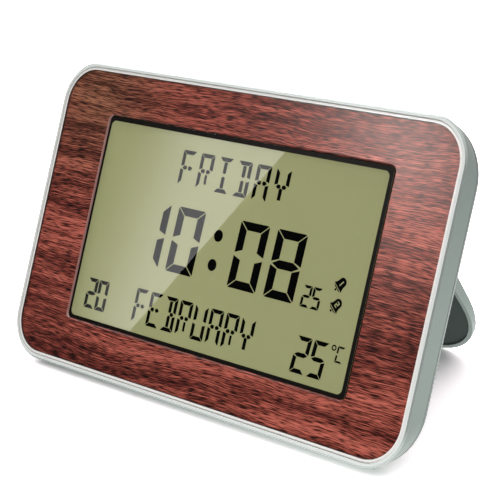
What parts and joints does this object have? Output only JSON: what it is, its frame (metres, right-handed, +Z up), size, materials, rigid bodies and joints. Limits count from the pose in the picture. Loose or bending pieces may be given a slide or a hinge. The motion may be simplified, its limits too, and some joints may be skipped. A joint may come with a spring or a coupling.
{
  "type": "desk clock",
  "caption": "Digital desk clock with calendar display, round-cornered case with a wood front, and a fold-out stand leaf at the back.",
  "frame": {"origin": "on the desk, under the middle of the clock's bounding box, with the stand open", "axes": "+X to the clock's right as seen from the front, +Y back from its face, +Z up; the clock leans back 25.8 degrees"},
  "size_m": [0.22, 0.1084, 0.1203],
  "materials": {
    "silver_shell": "silver paint, satin",
    "bright_rim": "bright",
    "wood_front": "red-brown, satin lacquer",
    "display_window": "clear, polished",
    "display_glass": "grey-green, reflective backing",
    "mirror_film": "satin film",
    "black_plastic": "matt",
    "white_plastic": "matt",
    "zebra_rubber": "striped silicone",
    "board_green": "solder mask",
    "bright_steel": "nickel plated",
    "buzzer_brass": "plain",
    "dark_plastic": "matt",
    "button_grey": "matt",
    "cell_sleeve": "plain sleeve",
    "red_cable": "insulated wire",
    "black_cable": "insulated wire"
  },
  "bodies": {
    "clock_case": {"case_frame": "silver_shell", "trim_ring": "bright_rim", "wood_panel": "wood_front", "display_lens": "display_window", "display_gasket": "black_plastic", "lcd_panel": "display_glass", "lcd_reflector": "mirror_film", "lcd_holder": "white_plastic", "zebra_connector": "zebra_rubber", "holder_screw_1": "bright_steel", "holder_screw_2": "bright_steel", "holder_screw_3": "bright_steel", "holder_screw_4": "bright_steel", "main_board": "board_green", "glob_top_chip": "black_plastic", "quartz_crystal": "bright_steel", "capacitor": "black_cable", "temperature_sensor": "black_plastic", "switch_mode": "black_plastic", "switch_set": "black_plastic", "switch_down": "black_plastic", "switch_up": "black_plastic", "switch_alarm": "black_plastic", "rear_cover": "silver_shell", "cover_screw_1": "bright_steel", "cover_screw_2": "bright_steel", "cover_screw_3": "bright_steel", "cover_screw_4": "bright_steel", "cell_1": "cell_sleeve", "cell_2": "cell_sleeve", "contact_positive": "bright_steel", "contact_negative": "bright_steel", "contact_bridge": "bright_steel", "cell_spring_1": "bright_steel", "cell_spring_2": "bright_steel", "battery_wire_red": "red_cable", "battery_wire_black": "black_cable", "piezo_buzzer": "buzzer_brass", "hinge_pin_right": "bright_steel", "hinge_pin_left": "bright_steel"},
    "stand": {"stand_leaf": "silver_shell", "stand_inner_panel": "dark_plastic"},
    "battery_door": {"battery_door": "silver_shell"},
    "mode_button": {"button_mode": "button_grey"},
    "set_button": {"button_set": "button_grey"},
    "down_button": {"button_down": "button_grey"},
    "up_button": {"button_up": "button_grey"},
    "alarm_button": {"button_alarm": "button_grey"}
  },
  "joints": [
    {"name": "stand_fold", "type": "hinge", "parent": "clock_case", "child": "stand", "pos_m": [0, 0.00949, 0.07498], "axis": [1, 0, 0], "range_deg": [-57.3, 0]},
    {"name": "battery_door_swing", "type": "hinge", "parent": "clock_case", "child": "battery_door", "pos_m": [0, -0.02374, 0.01385], "axis": [-1, 0, 0], "range_deg": [0, 75]},
    {"name": "mode_press", "type": "slide", "parent": "clock_case", "child": "mode_button", "axis": [0, -0.9003, 0.4353], "range_m": [0, 0.0006], "stiffness_N_per_m": 400},
    {"name": "set_press", "type": "slide", "parent": "clock_case", "child": "set_button", "axis": [0, -0.9003, 0.4353], "range_m": [0, 0.0006], "stiffness_N_per_m": 400},
    {"name": "down_press", "type": "slide", "parent": "clock_case", "child": "down_button", "axis": [0, -0.9003, 0.4353], "range_m": [0, 0.0006], "stiffness_N_per_m": 400},
    {"name": "up_press", "type": "slide", "parent": "clock_case", "child": "up_button", "axis": [0, -0.9003, 0.4353], "range_m": [0, 0.0006], "stiffness_N_per_m": 400},
    {"name": "alarm_press", "type": "slide", "parent": "clock_case", "child": "alarm_button", "axis": [0, -0.9003, 0.4353], "range_m": [0, 0.0006], "stiffness_N_per_m": 400}
  ]
}
